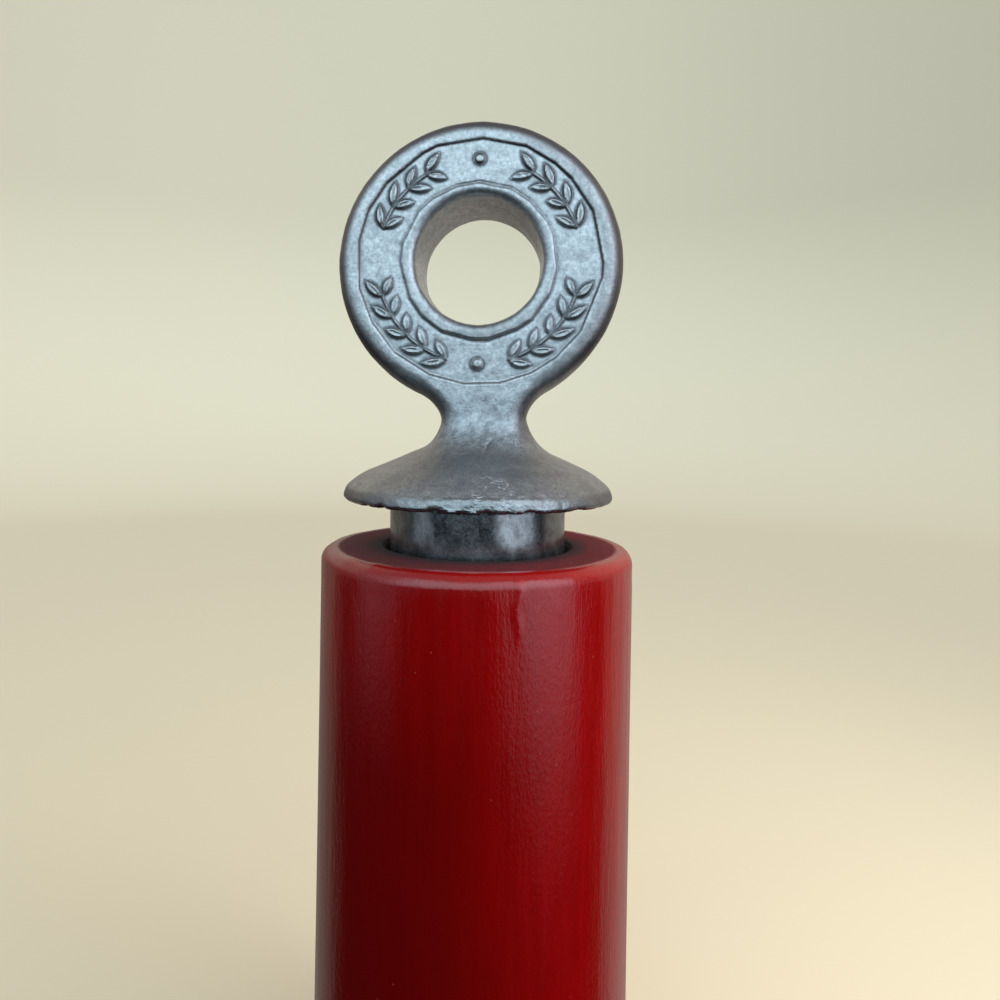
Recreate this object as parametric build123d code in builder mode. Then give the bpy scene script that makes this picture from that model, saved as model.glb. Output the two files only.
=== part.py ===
"""A twist bird call: a cast pewter plug, turned by its finger ring in a bored birch barrel.

Twisting the plug in the rosined bore makes the wood and metal stick and slip, and the barrel sings.
The origin is the centre of the barrel's foot, +Z is the turning axis, and the ring faces -Y and +Y.
"""

import os
from math import cos, radians, sin, tan

from build123d import *

# Driving dimensions, in millimetres and degrees

# Turned barrel with a blind drilled bore
BARREL_DIAMETER = 15.875
BARREL_LENGTH = 31.75
BARREL_LIP_CHAMFER = 0.4
BARREL_FOOT_CHAMFER = 0.5
BORE_DIAMETER = 9.525
BORE_DEPTH = 22.0
BORE_MOUTH_CHAMFER = 0.15
DRILL_POINT_ANGLE = 118.0

# Coat of rosin between the plug's shank and the bore
ROSIN_THICKNESS = 0.17
ROSIN_RUNNING_CLEARANCE = 0.03
ROSIN_MOUTH_SETBACK = 1.0

# Plug: shank and bell-shaped flange, which stands clear of the barrel's mouth
PLUG_LIFT = 2.35
SHANK_LENGTH = 19.0
SHANK_END_CHAMFER = 0.6
FLANGE_DIAMETER = 13.85
FLANGE_RIM_HEIGHT = 0.5
FLANGE_SHOULDER_RADIUS = 4.5
SHOULDER_SLOPE = 50.0
FLANK_SLOPE = 23.5

# Plug: neck and finger ring
NECK_WIDTH = 4.3
NECK_LENGTH = 1.65
NECK_ROOT_RADIUS = 1.4
NECK_CORNER_RADIUS = 1.0
RING_DIAMETER = 14.25
RING_THICKNESS = 4.6
RING_EDGE_RADIUS = 0.7
HOLE_DIAMETER = 6.2
HOLE_CHAMFER = 0.4
OUTER_BEAD_WIDTH = 1.12
INNER_BEAD_WIDTH = 0.83
BAND_DEPTH = 0.2
BAND_DRAFT = 25.0

# Radii and heights that follow from them
barrel_radius = BARREL_DIAMETER / 2
bore_radius = BORE_DIAMETER / 2
bore_floor_z = BARREL_LENGTH - BORE_DEPTH
drill_point_z = bore_floor_z - bore_radius / tan(radians(DRILL_POINT_ANGLE / 2))
rosin_outer_radius = bore_radius - ROSIN_RUNNING_CLEARANCE
rosin_inner_radius = rosin_outer_radius - ROSIN_THICKNESS
shank_radius = rosin_inner_radius - ROSIN_RUNNING_CLEARANCE
flange_z = BARREL_LENGTH + PLUG_LIFT
shank_end_z = flange_z - SHANK_LENGTH
rosin_bottom_z = shank_end_z + SHANK_END_CHAMFER
rosin_top_z = BARREL_LENGTH - ROSIN_MOUTH_SETBACK
flange_radius = FLANGE_DIAMETER / 2
neck_half_width = NECK_WIDTH / 2
ring_radius = RING_DIAMETER / 2
ring_half_thickness = RING_THICKNESS / 2
hole_radius = HOLE_DIAMETER / 2
band_outer_radius = ring_radius - OUTER_BEAD_WIDTH
band_inner_radius = hole_radius + INNER_BEAD_WIDTH

# The bell: a rounded shoulder inside the rim, then a straight flank up to the neck
shoulder_start_z = flange_z + FLANGE_RIM_HEIGHT
shoulder_turn = SHOULDER_SLOPE - FLANK_SLOPE
flank_start_radius = flange_radius - FLANGE_SHOULDER_RADIUS * (
    sin(radians(SHOULDER_SLOPE)) - sin(radians(FLANK_SLOPE))
)
flank_start_z = shoulder_start_z + FLANGE_SHOULDER_RADIUS * (
    cos(radians(FLANK_SLOPE)) - cos(radians(SHOULDER_SLOPE))
)
flank_rise = tan(radians(FLANK_SLOPE))
neck_root_z = flank_start_z + (flank_start_radius - neck_half_width) * flank_rise
bell_peak_z = flank_start_z + flank_start_radius * flank_rise
ring_z = neck_root_z + NECK_LENGTH + ring_radius

# Barrel: half its section, revolved about the turning axis
with BuildPart() as barrel:
    with BuildSketch(Plane.XZ) as barrel_section:
        with BuildLine():
            Polyline(
                (0, 0),
                (barrel_radius, 0),
                (barrel_radius, BARREL_LENGTH),
                (bore_radius, BARREL_LENGTH),
                (bore_radius, bore_floor_z),
                (0, drill_point_z),
                close=True,
            )
        make_face()
        chamfer(barrel_section.vertices().group_by(Axis.Y)[0].sort_by(Axis.X)[-1], BARREL_FOOT_CHAMFER)
        chamfer(barrel_section.vertices().group_by(Axis.Y)[-1].sort_by(Axis.X)[-1], BARREL_LIP_CHAMFER)
        chamfer(barrel_section.vertices().group_by(Axis.Y)[-1].sort_by(Axis.X)[0], BORE_MOUTH_CHAMFER)
    revolve(axis=Axis.Z)

# Rosin coat: the film that fills the running fit, short of the mouth
with BuildPart() as rosin_coat:
    with BuildSketch(Plane.XY.offset(rosin_bottom_z)):
        Circle(rosin_outer_radius)
        Circle(rosin_inner_radius, mode=Mode.SUBTRACT)
    extrude(amount=rosin_top_z - rosin_bottom_z)

# Plug: one casting, whose ring and neck are a plate and whose bell and shank are turned
with BuildPart() as plug:
    with BuildSketch(Plane.XZ) as plate:
        with Locations((0, ring_z)):
            Circle(ring_radius)
        with Locations((0, flange_z)):
            Rectangle(NECK_WIDTH, ring_z - flange_z, align=(Align.CENTER, Align.MIN))
        fillet(plate.vertices().group_by(Axis.Y)[1], NECK_CORNER_RADIUS)
        with Locations((0, ring_z)):
            Circle(hole_radius, mode=Mode.SUBTRACT)
    extrude(amount=ring_half_thickness, both=True)
    plate_faces = plug.faces().filter_by(Axis.Y)
    hole_edges = ShapeList(face.inner_wires()[0].edge() for face in plate_faces)
    outline_edges = ShapeList()
    for face in plate_faces:
        outline_edges += face.outer_wire().edges().sort_by(Axis.Z)[1:]
    fillet(outline_edges, RING_EDGE_RADIUS)
    chamfer(hole_edges, HOLE_CHAMFER)

    # Sunken band between the beads, on both faces of the ring
    for side in (1, -1):
        with BuildSketch(Plane.XZ.offset(side * ring_half_thickness)):
            with Locations((0, ring_z)):
                Circle(band_outer_radius)
                Circle(band_inner_radius, mode=Mode.SUBTRACT)
        extrude(amount=-side * BAND_DEPTH, taper=BAND_DRAFT, mode=Mode.SUBTRACT)

    # Bell and shank, turned about the same axis and blended into the neck
    with BuildSketch(Plane.XZ):
        with BuildLine():
            shoulder_start = (flange_radius, shoulder_start_z)
            inward = (-cos(radians(SHOULDER_SLOPE)), sin(radians(SHOULDER_SLOPE)))
            shoulder = JernArc(shoulder_start, inward, FLANGE_SHOULDER_RADIUS, shoulder_turn)
            Polyline(
                shoulder @ 1,
                (0, bell_peak_z),
                (0, shank_end_z),
                (shank_radius - SHANK_END_CHAMFER, shank_end_z),
                (shank_radius, shank_end_z + SHANK_END_CHAMFER),
                (shank_radius, flange_z),
                (flange_radius, flange_z),
                shoulder @ 0,
            )
        make_face()
    revolve(axis=Axis.Z)
    fillet(plug.edges(Select.NEW), NECK_ROOT_RADIUS)

os.makedirs("parts", exist_ok=True)

barrel.part.label = "barrel"
export_step(barrel.part, "parts/barrel.step")

rosin_coat.part.label = "rosin_coat"
export_step(rosin_coat.part, "parts/rosin_coat.step")

plug.part.label = "plug"
export_step(plug.part, "parts/plug.step")
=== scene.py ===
"""Looks for the twist bird call: a red lacquered birch barrel and a cast pewter plug with a finger ring.

Sizes are in millimetres until a mesh is made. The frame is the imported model's: +Z is the turning axis,
and the ring's front face looks along -Y.
"""

import math

import bmesh
import bpy
import numpy as np
from mathutils import Euler, Matrix, Vector, noise


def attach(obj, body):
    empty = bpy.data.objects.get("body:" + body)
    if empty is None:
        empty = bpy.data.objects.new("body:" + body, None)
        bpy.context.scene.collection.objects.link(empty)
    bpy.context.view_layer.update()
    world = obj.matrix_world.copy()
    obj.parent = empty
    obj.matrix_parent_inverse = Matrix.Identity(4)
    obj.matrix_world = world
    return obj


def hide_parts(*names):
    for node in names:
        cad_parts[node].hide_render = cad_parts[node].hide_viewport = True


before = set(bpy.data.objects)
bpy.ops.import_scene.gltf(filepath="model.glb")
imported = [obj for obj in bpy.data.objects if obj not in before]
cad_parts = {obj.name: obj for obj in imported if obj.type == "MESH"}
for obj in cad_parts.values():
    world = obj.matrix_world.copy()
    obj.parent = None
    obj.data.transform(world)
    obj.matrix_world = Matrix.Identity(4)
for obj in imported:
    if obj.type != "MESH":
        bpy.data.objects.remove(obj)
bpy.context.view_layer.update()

MM = 0.001
TURN = 2 * math.pi
random = np.random.default_rng(7)

# Barrel
BARREL_RADIUS = 7.9375
BARREL_LENGTH = 31.75
LIP_RADIUS = 0.62
TOP_FLAT_RADIUS = 7.25
FOOT_CHAMFER = 0.5
FOOT_FLAT_RADIUS = 7.0
BORE_RADIUS = 4.7625
BORE_FLOOR_Z = 9.75
DRILL_POINT_Z = 6.888
MOUTH_CHAMFER = 0.15
BARREL_SEGMENTS = 500
WALL_ROWS = 84
WALL_START_Z = 0.8
LIP_ROWS = 12
TOP_ROWS = 10
BORE_ROWS = 24

# How far the rows of points beside a turned edge lie from it, which keeps the edge soft
CLOSE_ROW = 0.01
SOFT_ROW = 0.02
NEAR_ROW = 0.03
FAR_ROW = 0.05

# Barrel's unevenness: raised grain, drips and one run of lacquer below the lip, and a lip that wavers
GRAIN_HEIGHT = 0.010
FINE_GRAIN_HEIGHT = 0.003
DRIP_HEIGHT = 0.028
DRIP_DROP = 1.0
DRIP_SPREAD = 0.7
RUN_TURN = 0.29
RUN_WIDTH = 0.13
RUN_END_Z = 28.6
RUN_HEIGHT = 0.05
RUN_WANDER = 0.014
RUN_WANDER_TURN = 4.1
LIP_WAVER = 0.16
LIP_WAVER_START_Z = 31.0
LIP_DRAWN_IN = 0.35
LIP_DRAWN_DOWN = 0.3

# Rosin film
ROSIN_INNER_RADIUS = 4.5605
ROSIN_OUTER_RADIUS = 4.7325
ROSIN_BOTTOM_Z = 15.7
ROSIN_TOP_Z = 30.75
ROSIN_RAGGED_EDGE = 0.9
ROSIN_LEAST = 0.01
ROSIN_MEAN = 0.5
ROSIN_PATCHES = 0.42
ROSIN_GRAINS = 0.3
ROSIN_THINNEST = 0.06
ROSIN_END = 0.3
FILM_COLUMNS = 220
FILM_ROWS = 70

# Plug: shank and bell
SHANK_RADIUS = 4.5325
SHANK_END_Z = 15.1
SHANK_END_ROUND = 0.5
FLANGE_Z = 34.1
FLANGE_RADIUS = 6.925
RIM_HEIGHT = 0.5
SHOULDER_RADIUS = 4.5
SHOULDER_SLOPE = math.radians(50)
FLANK_SLOPE = math.radians(23.5)

# Plug: the rim wavers, and its front is battered, with sharper edges and a ragged flash
RIM_WAVER = 0.02
RIM_TOP_ROUND = 0.28
RIM_TOP_LOSS = 0.12
RIM_LOW_ROUND = 0.36
RIM_LOW_LOSS = 0.28
BATTERED_TURN = 0.1
BATTERED_WIDTH = 0.85
FLASH_REACH = 0.05
FLASH_LIFT = 0.08
FLASH_SPREAD = 0.12
FLASH_BITE = 0.13

# Plug: neck and ring
NECK_HALF_WIDTH = 2.1
NECK_OFFSET = 0.32
NECK_CORNER_RADIUS = 1.1
NECK_ROOT_RADIUS = 1.45
NECK_BLEND = 1.4
NECK_SPREAD = 0.1
NECK_SPREAD_START = 6.2
NECK_SPREAD_RUN = 2.4
LEFT_ROOT_RADIUS = 1.15
LEFT_BLEND = 3
LEFT_SAG = 0.13
LEFT_SAG_BLEND = 2
PLATE_BOTTOM_Z = 35.2
RING_Z = 45.967
RING_RADIUS = 7.125
RING_HALF_DEPTH = 2.3
RING_EDGE_ROUND = 0.9
NECK_EDGE_ROUND = 1.05
HOLE_RADIUS = 3.05
HOLE_LIFT = 0.1
HOLE_DRAFT = 0.06
HOLE_EDGE_ROUND = 0.42
OUTER_CREASE = 6.0
INNER_CREASE = 3.93
BAND_DEPTH = 0.12
OUTER_RISE = 0.14
INNER_RISE = 0.15
GROOVE_DEPTH = 0.05
GROOVE_WIDTH = 0.06

# The outer crease is fainter than the inner one, most of all above the neck and at the ring's top
OUTER_GROOVE = 0.6
NECK_GROOVE_LOSS = 0.5
NECK_GROOVE_WIDTH = 0.42
TOP_GROOVE_LOSS = 0.35
TOP_BAND_LOSS = 0.42
TOP_WIDTH = 0.8
CREASE_DIRT = 0.6

# Nick on the neck's front, from one point to another in x and z
NICK_START = (0.50, 36.50)
NICK_END = (0.86, 37.34)
NICK_WIDTH = 0.085
NICK_DEPTH = 0.06
NICK_BEND = 0.03
NICK_BEND_TURN = 9
NICK_TIP = 0.3

# Laurel on the band: sprigs of leaf pairs in the lower and upper arcs, with the sides left bare
LAUREL_RADIUS = 5.04
LAUREL_START = 0.3
LAUREL_PAIRS = 11
BARE_PAIRS = (5, 6)
LEAF_PITCH = 1.15
LEAF_LENGTH = 1.24
LEAF_HALF_WIDTH = 0.26
LEAF_TILT = math.radians(33)
LEAF_HEIGHT = 0.13
LEAF_EDGE = 0.13
VEIN_DEPTH = 0.05
VEIN_WIDTH = 0.05
VEIN_EDGE = 0.1
STEM_HALF_WIDTH = 0.07
STEM_HEIGHT = 0.08
STEM_EDGE = 0.1
STEM_TIP = 0.2
PELLET_RADIUS = 0.33
PELLET_EDGE = 0.2
OUTLINE_OFFSET = 0.02
OUTLINE_WIDTH = 0.07
STEM_OUTLINE_WIDTH = 0.06

# Plug's mesh: fine at the ring's faces, coarse along the shank, and thinned out where it doesn't show
NET_STEP = 0.072
BELL_STEP = 0.085
SHANK_STEP = 0.6
NET_SIDE = 7.32
NET_BOTTOM_Z = 14.9
NET_BELL_Z = 34.0
NET_RING_Z = 38.9
NET_TOP_Z = 53.6
MOST_PLUG_TRIANGLES = 196000
SHORTEST_EDGE = 0.014
THINNED_BEHIND_Y = -1.0
THINNED_BELOW_Z = 31.0

# Plug's unevenness: height and scale of the casting's lumps, and of the hammer dents at the rim's front
LUMPS = ((0.018, 0.8), (0.009, 2.3), (0.003, 5.5))
LARGE_DENTS = (0.035, 2.1)
SMALL_DENTS = (0.016, 5.0)
DENTED_WIDTH = 0.8
DENTED_TOP_Z = 35.9
DENTED_RADIUS = 4.7

# Plug's dirt, rubbed rim, and darkening from tarnish and painted shade: where each starts or ends, and how
# strong it is
DIRT_START_Z = 38.6
NICK_DIRT = 0.8
RIM_START_RADIUS = 6.6
RIM_TOP_Z = 35.2
RUBBED_WIDTH = 0.75
DARKENING_FOOT_Z = 36.9
DARKENING_LEFT_LIFT = 1.3
DARKENING_START_RADIUS = 4.2
FULL_DARKENING_Z = 41.0
EDGE_DARKENING_Z = 40.0
NECK_EDGE_DARKENING = 0.3
RING_EDGE_DARKENING = 0.65
RIGHT_BEAD_DARKENING = 0.32
RIGHT_BEAD_REACH = 1.1
INNER_BEAD_DARKENING = 0.36
INNER_BEAD_RADIUS = 4.0
UNDERSIDE_TOP_Z = 34.6
UNDERSIDE_BOTTOM_Z = 33.9
RIM_SIDE_DARKENING = 0.85


def smooth(value):
    """Smooth step from 0 at 0 to 1 at 1."""
    held = np.clip(value, 0, 1)
    return held * held * (3 - 2 * held)


def rise(value, start, run):
    """Smooth step from 0 at the start to 1 a run later."""
    return smooth((value - start) / run)


def fall(value, end, run):
    """Smooth step from 1 a run before the end to 0 at the end."""
    return smooth((end - value) / run)


def bump(offset, width):
    """A bell-shaped bump of height 1 and that width."""
    return np.exp(-np.square(offset / width))


def round_and(a, b, radius):
    """Both solids at once, with their shared edge rounded."""
    past = np.hypot(np.maximum(radius + a, 0), np.maximum(radius + b, 0))
    return np.minimum(-radius, np.maximum(a, b)) + past


def round_or(a, b, radius):
    """Either solid, with the corner between them filleted."""
    past = np.hypot(np.maximum(radius - a, 0), np.maximum(radius - b, 0))
    return np.maximum(radius, np.minimum(a, b)) - past


def hand_cut_circle(corners, radius, jitter, shift=0.35, stroke_points=40):
    """Angles and radii of a circle that was cut by hand, in short straight strokes."""
    spread = random.uniform(-shift, shift, corners)
    angles = (np.arange(corners) + spread) * TURN / corners
    radii = radius + random.uniform(-jitter, jitter, corners)
    points = np.stack([radii * np.sin(angles), radii * np.cos(angles)], 1)
    share = np.linspace(0, 1, stroke_points, endpoint=False)[:, None]
    strokes = [a + (b - a) * share for a, b in zip(points, np.roll(points, -1, 0))]
    line = np.concatenate(strokes)
    angle = np.arctan2(line[:, 0], line[:, 1])
    order = np.argsort(angle)
    return angle[order], np.hypot(line[:, 0], line[:, 1])[order]


def random_waves(lowest, highest, count):
    """How often each wave goes round the axis, and its phase."""
    rounds = random.integers(lowest, highest, count)
    phases = random.uniform(0, TURN, count)
    return list(zip(rounds.tolist(), phases.tolist()))


def ripple(angle, waves):
    """A sum of waves round the axis, about -1 to 1."""
    total = sum(np.sin(rounds * angle + phase) for rounds, phase in waves)
    return total / math.sqrt(len(waves))


OUTER_CUT = hand_cut_circle(21, OUTER_CREASE, 0.03)
INNER_CUT = hand_cut_circle(19, INNER_CREASE, 0.025)
LEAF_STRETCH = random.uniform(0.92, 1.06, 64)
RIM_WAVES = random_waves(3, 16, 6)
FLASH_WAVES = random_waves(7, 46, 9)


def laurel(rho, theta):
    """Height of the raised ornament above the band, and how near its outline is."""
    from_bottom = np.pi - np.abs(theta)
    along = (from_bottom - LAUREL_START) * LAUREL_RADIUS
    across = rho - LAUREL_RADIUS
    step = np.floor(along / LEAF_PITCH)
    on_branch = (step >= 0) & (step < LAUREL_PAIRS) & ~np.isin(step, BARE_PAIRS)
    side = np.where(across > 0, 1, 0) + np.where(theta > 0, 2, 0)
    which = (np.clip(step, 0, LAUREL_PAIRS - 1) * 4 + side).astype(int) % len(LEAF_STRETCH)
    length = LEAF_LENGTH * LEAF_STRETCH[which]
    out = np.abs(across) - STEM_HALF_WIDTH / 2
    ahead = along - step * LEAF_PITCH
    up_leaf = math.cos(LEAF_TILT) * ahead + math.sin(LEAF_TILT) * out
    off_vein = math.cos(LEAF_TILT) * out - math.sin(LEAF_TILT) * ahead
    taper = np.clip(1 - np.square(2 * up_leaf / length - 1), 0, 1)
    past_ends = np.maximum(np.maximum(-up_leaf, up_leaf - length), 0)
    edge = np.abs(off_vein) - LEAF_HALF_WIDTH * taper + past_ends
    vein = VEIN_DEPTH * bump(off_vein, VEIN_WIDTH) * smooth(-edge / VEIN_EDGE)
    leaf = LEAF_HEIGHT * smooth(-edge / LEAF_EDGE) - vein
    stem_edge = np.abs(across) - STEM_HALF_WIDTH
    last_pair = np.isin(step, (BARE_PAIRS[0] - 1, LAUREL_PAIRS - 1))
    stem_edge = np.where(last_pair, np.maximum(stem_edge, ahead - STEM_TIP), stem_edge)
    stem = STEM_HEIGHT * smooth(0.5 - stem_edge / STEM_EDGE)
    height = np.where(on_branch, np.maximum(leaf, stem), 0)
    leaf_outline = bump(edge - OUTLINE_OFFSET, OUTLINE_WIDTH)
    stem_outline = 0.5 * bump(stem_edge, STEM_OUTLINE_WIDTH)
    outline = np.where(on_branch, np.maximum(leaf_outline, stem_outline), 0)
    for pellet_angle in (0.0, np.pi):
        turn = np.abs(np.angle(np.exp(1j * (theta - pellet_angle))))
        reach = np.hypot(turn * LAUREL_RADIUS, across) - PELLET_RADIUS
        height = np.maximum(height, LEAF_HEIGHT * smooth(-reach / PELLET_EDGE))
        outline = np.maximum(outline, bump(reach - OUTLINE_OFFSET, OUTLINE_WIDTH))
    return height, outline


def ring_face(rho, theta, front):
    """Half depth of the ring's and neck's faces, and the dirt that lies in their creases."""
    outer = rho - np.interp(theta, *OUTER_CUT, period=TURN)
    inner = np.interp(theta, *INNER_CUT, period=TURN) - rho
    over_neck = bump(np.pi - np.abs(theta), NECK_GROOVE_WIDTH)
    at_top = bump(theta, TOP_WIDTH)
    bead = np.maximum(smooth(outer / OUTER_RISE), smooth(inner / INNER_RISE))
    outer_share = OUTER_GROOVE - NECK_GROOVE_LOSS * over_neck - TOP_GROOVE_LOSS * at_top
    grooves = np.maximum(bump(outer, GROOVE_WIDTH) * outer_share, bump(inner, GROOVE_WIDTH))
    relief, outline = laurel(rho, theta)
    on_band = np.where((outer < 0) & (inner < 0) & front, 1, 0)
    sunk = BAND_DEPTH * (1 - TOP_BAND_LOSS * at_top) * (1 - bead)
    height = RING_HALF_DEPTH - sunk - GROOVE_DEPTH * grooves
    height = height + relief * on_band + NECK_SPREAD * rise(rho, NECK_SPREAD_START, NECK_SPREAD_RUN)
    return height, np.maximum(CREASE_DIRT * grooves, outline * on_band)


def neck_nick(x, y, z):
    """How deep a point lies in the nick, from 0 outside it to 1."""
    run_x = NICK_END[0] - NICK_START[0]
    run_z = NICK_END[1] - NICK_START[1]
    share = ((x - NICK_START[0]) * run_x + (z - NICK_START[1]) * run_z) / (run_x**2 + run_z**2)
    share = np.clip(share, 0, 1)
    bend = NICK_BEND * np.sin(NICK_BEND_TURN * share)
    off = np.hypot(x - NICK_START[0] - share * run_x - bend, z - NICK_START[1] - share * run_z)
    taper = NICK_TIP + (1 - NICK_TIP) * np.sin(np.pi * share)
    return np.where(y < 0, taper * bump(off, NICK_WIDTH * taper), 0)


def bell_top(radius):
    """Height of the bell's outside at a radius, and the cosine of its slope there."""
    centre_r = FLANGE_RADIUS - SHOULDER_RADIUS * math.sin(SHOULDER_SLOPE)
    centre_z = FLANGE_Z + RIM_HEIGHT - SHOULDER_RADIUS * math.cos(SHOULDER_SLOPE)
    flank_r = centre_r + SHOULDER_RADIUS * math.sin(FLANK_SLOPE)
    flank_z = centre_z + SHOULDER_RADIUS * math.cos(FLANK_SLOPE)
    across = np.clip(radius - centre_r, 0, 0.95 * SHOULDER_RADIUS)
    drop = np.sqrt(SHOULDER_RADIUS**2 - across**2)
    on_flank = radius < flank_r
    height = np.where(on_flank, flank_z + (flank_r - radius) * math.tan(FLANK_SLOPE), centre_z + drop)
    return height, np.where(on_flank, math.cos(FLANK_SLOPE), drop / SHOULDER_RADIUS)


def plate_outline(x, z):
    """Distance to the outline of the ring and neck, seen from the front."""
    neck = np.maximum(np.abs(x - NECK_OFFSET) - NECK_HALF_WIDTH, z - (RING_Z - OUTER_CREASE))
    return round_or(np.hypot(x, z - RING_Z) - RING_RADIUS, neck, NECK_CORNER_RADIUS)


def plug_field(x, y, z):
    """Distance to the plug's surface, less than 0 inside it."""
    rho = np.hypot(x, z - RING_Z)
    theta = np.arctan2(x, z - RING_Z)
    depth, _ = ring_face(rho, theta, y < 0)
    on_neck = fall(z, RING_Z - OUTER_CREASE, NECK_BLEND)
    edge_round = RING_EDGE_ROUND + (NECK_EDGE_ROUND - RING_EDGE_ROUND) * on_neck
    plate = round_and(np.abs(y) - depth, plate_outline(x, z), edge_round)
    from_hole = np.hypot(x, z - RING_Z - HOLE_LIFT)
    plate = round_and(plate, HOLE_RADIUS + HOLE_DRAFT * np.abs(y) - from_hole, HOLE_EDGE_ROUND)
    plate = np.maximum(plate, PLATE_BOTTOM_Z - z)
    radius = np.hypot(x, y)
    turn = np.arctan2(x, -y)
    battered = bump(turn - BATTERED_TURN, BATTERED_WIDTH)
    flash = ripple(turn, FLASH_WAVES) * battered
    rim = radius - FLANGE_RADIUS - RIM_WAVER * ripple(turn, RIM_WAVES)
    rim = rim - FLASH_REACH * np.maximum(flash, 0) * bump(z - FLANGE_Z - FLASH_LIFT, FLASH_SPREAD)
    on_left = fall(x, NECK_OFFSET, LEFT_BLEND)
    top, slope = bell_top(radius)
    top = top - LEFT_SAG * on_left * fall(radius, FLANGE_RADIUS, LEFT_SAG_BLEND)
    bell = round_and((z - top) * slope, rim, RIM_TOP_ROUND - RIM_TOP_LOSS * battered)
    underside = FLANGE_Z + FLASH_BITE * np.maximum(-flash, 0) - z
    bell = round_and(bell, underside, RIM_LOW_ROUND - RIM_LOW_LOSS * battered)
    shank = round_and(radius - SHANK_RADIUS, SHANK_END_Z - z, SHANK_END_ROUND)
    shank = np.maximum(shank, z - PLATE_BOTTOM_Z)
    root = NECK_ROOT_RADIUS + (LEFT_ROOT_RADIUS - NECK_ROOT_RADIUS) * on_left
    body = round_or(plate, bell, root) + NICK_DEPTH * neck_nick(x, y, z)
    return np.minimum(body, shank)


def gradient(field, points):
    """Gradient of a field at some points, by central differences."""
    reach = 0.012
    slopes = []
    for axis in range(3):
        step = np.zeros(3)
        step[axis] = reach
        ahead = field(*(points + step).T)
        behind = field(*(points - step).T)
        slopes.append((ahead - behind) / (2 * reach))
    return np.stack(slopes, 1)


def surface_net(field, axes):
    """Points and faces of the surface where a field is 0, one point for each cell that it crosses."""
    grid_x, grid_y = np.meshgrid(axes[0], axes[1], indexing="ij")
    values = np.empty(tuple(len(axis) for axis in axes))
    for level, z in enumerate(axes[2]):
        values[:, :, level] = field(grid_x, grid_y, np.full_like(grid_x, z))
    cells = tuple(len(axis) - 1 for axis in axes)
    cell_ids = []
    places = []
    flips = []
    for axis in range(3):
        before = np.moveaxis(values, axis, 0)[:-1]
        after = np.moveaxis(values, axis, 0)[1:]
        found = np.argwhere((before < 0) != (after < 0))
        start = before[tuple(found.T)]
        share = start / (start - after[tuple(found.T)])
        others = [other for other in range(3) if other != axis]
        corner = np.empty_like(found)
        corner[:, [axis, *others]] = found
        place = np.stack([axes[i][corner[:, i]] for i in range(3)], 1)
        place[:, axis] += share * np.diff(axes[axis])[corner[:, axis]]
        u, v = (axis + 1) % 3, (axis + 2) % 3
        ring = []
        for back_u, back_v in ((0, 0), (1, 0), (1, 1), (0, 1)):
            cell = corner.copy()
            cell[:, u] -= back_u
            cell[:, v] -= back_v
            ring.append(np.ravel_multi_index(tuple(cell.T), cells))
        cell_ids.append(np.stack(ring, 1))
        places.append(place)
        flips.append(start >= 0)
    used, numbers = np.unique(np.concatenate(cell_ids), return_inverse=True)
    quads = numbers.reshape(-1, 4)
    each = np.repeat(np.concatenate(places), 4, axis=0)
    count = np.bincount(quads.ravel(), minlength=len(used))
    means = [np.bincount(quads.ravel(), each[:, i], len(used)) / count for i in range(3)]
    turned = np.concatenate(flips)
    quads[turned] = quads[turned][:, ::-1]
    return np.stack(means, 1), quads.tolist()


def settle(field, points, rounds=4, most=0.05, least_slope=0.2):
    """The points, moved along the field's gradient onto its surface."""
    for _ in range(rounds):
        slope = gradient(field, points)
        steep = np.maximum(np.sum(slope * slope, 1), least_slope)
        move = np.clip(field(*points.T) / steep, -most, most)
        points = points - slope * move[:, None]
    return points


def noise_at(points, scale):
    """Smooth noise at some points, about -1 to 1."""
    return np.array([noise.noise(Vector(point)) for point in points * scale])


def ring_points(radius, z, angles):
    """Points round the turning axis, from the front by way of +X."""
    return np.stack([radius * np.sin(angles), -radius * np.cos(angles), z + 0 * angles], 1)


def strip_faces(low, high, count):
    """Faces between two rings of points that start at these numbers."""
    first = np.arange(count)
    second = np.roll(first, -1)
    return np.stack([low + first, low + second, high + second, high + first], 1).tolist()


def fan_faces(pole, start, count):
    """Faces between one point and the ring of points that starts at this number."""
    first = np.arange(count)
    second = np.roll(first, -1)
    return np.stack([start + first, start + second, np.full_like(first, pole)], 1).tolist()


def make_mesh(name, points, faces):
    """An object with a smooth mesh, from millimetres."""
    mesh = bpy.data.meshes.new(name)
    mesh.from_pydata((points * MM).tolist(), [], faces)
    mesh.polygons.foreach_set("use_smooth", [True] * len(mesh.polygons))
    mesh.update()
    thing = bpy.data.objects.new(name, mesh)
    bpy.context.scene.collection.objects.link(thing)
    return thing


def points_of(thing):
    """A mesh's points in millimetres."""
    flat = np.empty(len(thing.data.vertices) * 3, np.float32)
    thing.data.vertices.foreach_get("co", flat)
    return flat.reshape(-1, 3).astype(float) / MM


def paint(thing, name, values):
    """Keeps a number for each point, for the material to read."""
    attribute = thing.data.attributes.new(name, "FLOAT", "POINT")
    attribute.data.foreach_set("value", np.asarray(values, np.float32))


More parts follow.
